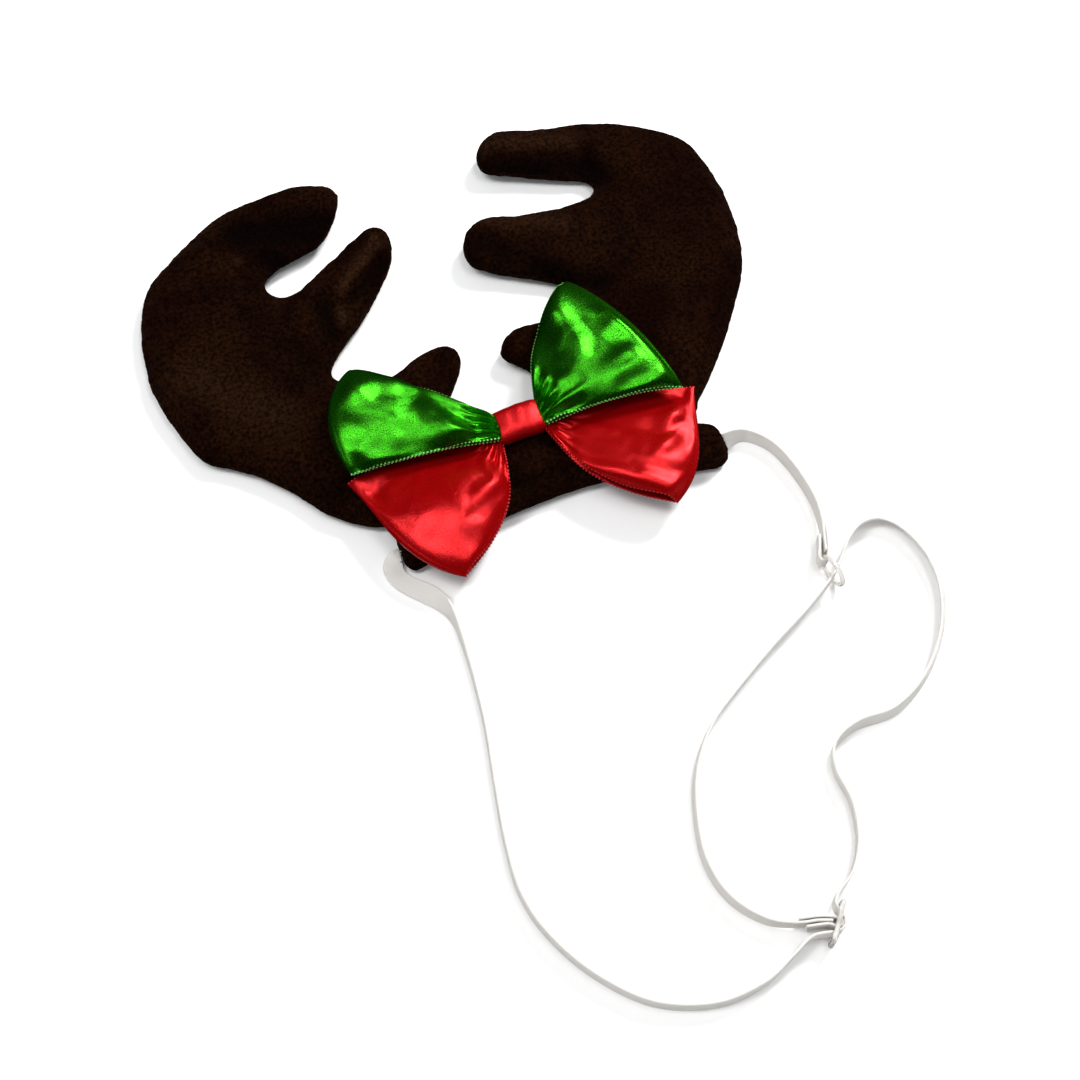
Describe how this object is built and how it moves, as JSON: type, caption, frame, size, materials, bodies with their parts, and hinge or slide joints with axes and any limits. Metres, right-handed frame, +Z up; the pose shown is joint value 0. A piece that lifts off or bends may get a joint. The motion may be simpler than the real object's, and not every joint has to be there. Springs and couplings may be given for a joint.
{
  "type": "reindeer antler headband",
  "caption": "Padded plush antlers on a plush headband with a satin ribbon bow, worn with an adjustable elastic strap, shown lying on its back",
  "frame": {"origin": "on the flat underside of the headband, midway between the antlers, where it lies on a surface", "axes": "+X along the headband towards the short elastic, +Y towards the antler tips, +Z up off the surface"},
  "size_m": [0.1965, 0.2851, 0.0243],
  "materials": {
    "plush": "very dark brown short-pile crushed plush",
    "green_satin": "glossy green satin ribbon with stitched edges",
    "red_satin": "glossy red satin ribbon",
    "elastic": "off-white woven elastic",
    "fitting": "smooth milky clear moulded plastic"
  },
  "bodies": {
    "root": {"antler_left": "plush", "antler_right": "plush", "headband": "plush", "green_bow_ribbon": "green_satin", "red_bow_ribbon": "red_satin", "bow_centre_wrap": "red_satin", "elastic_long": "elastic", "elastic_short": "elastic", "adjuster_ring": "fitting", "adjuster_slider": "fitting"}
  },
  "joints": []
}
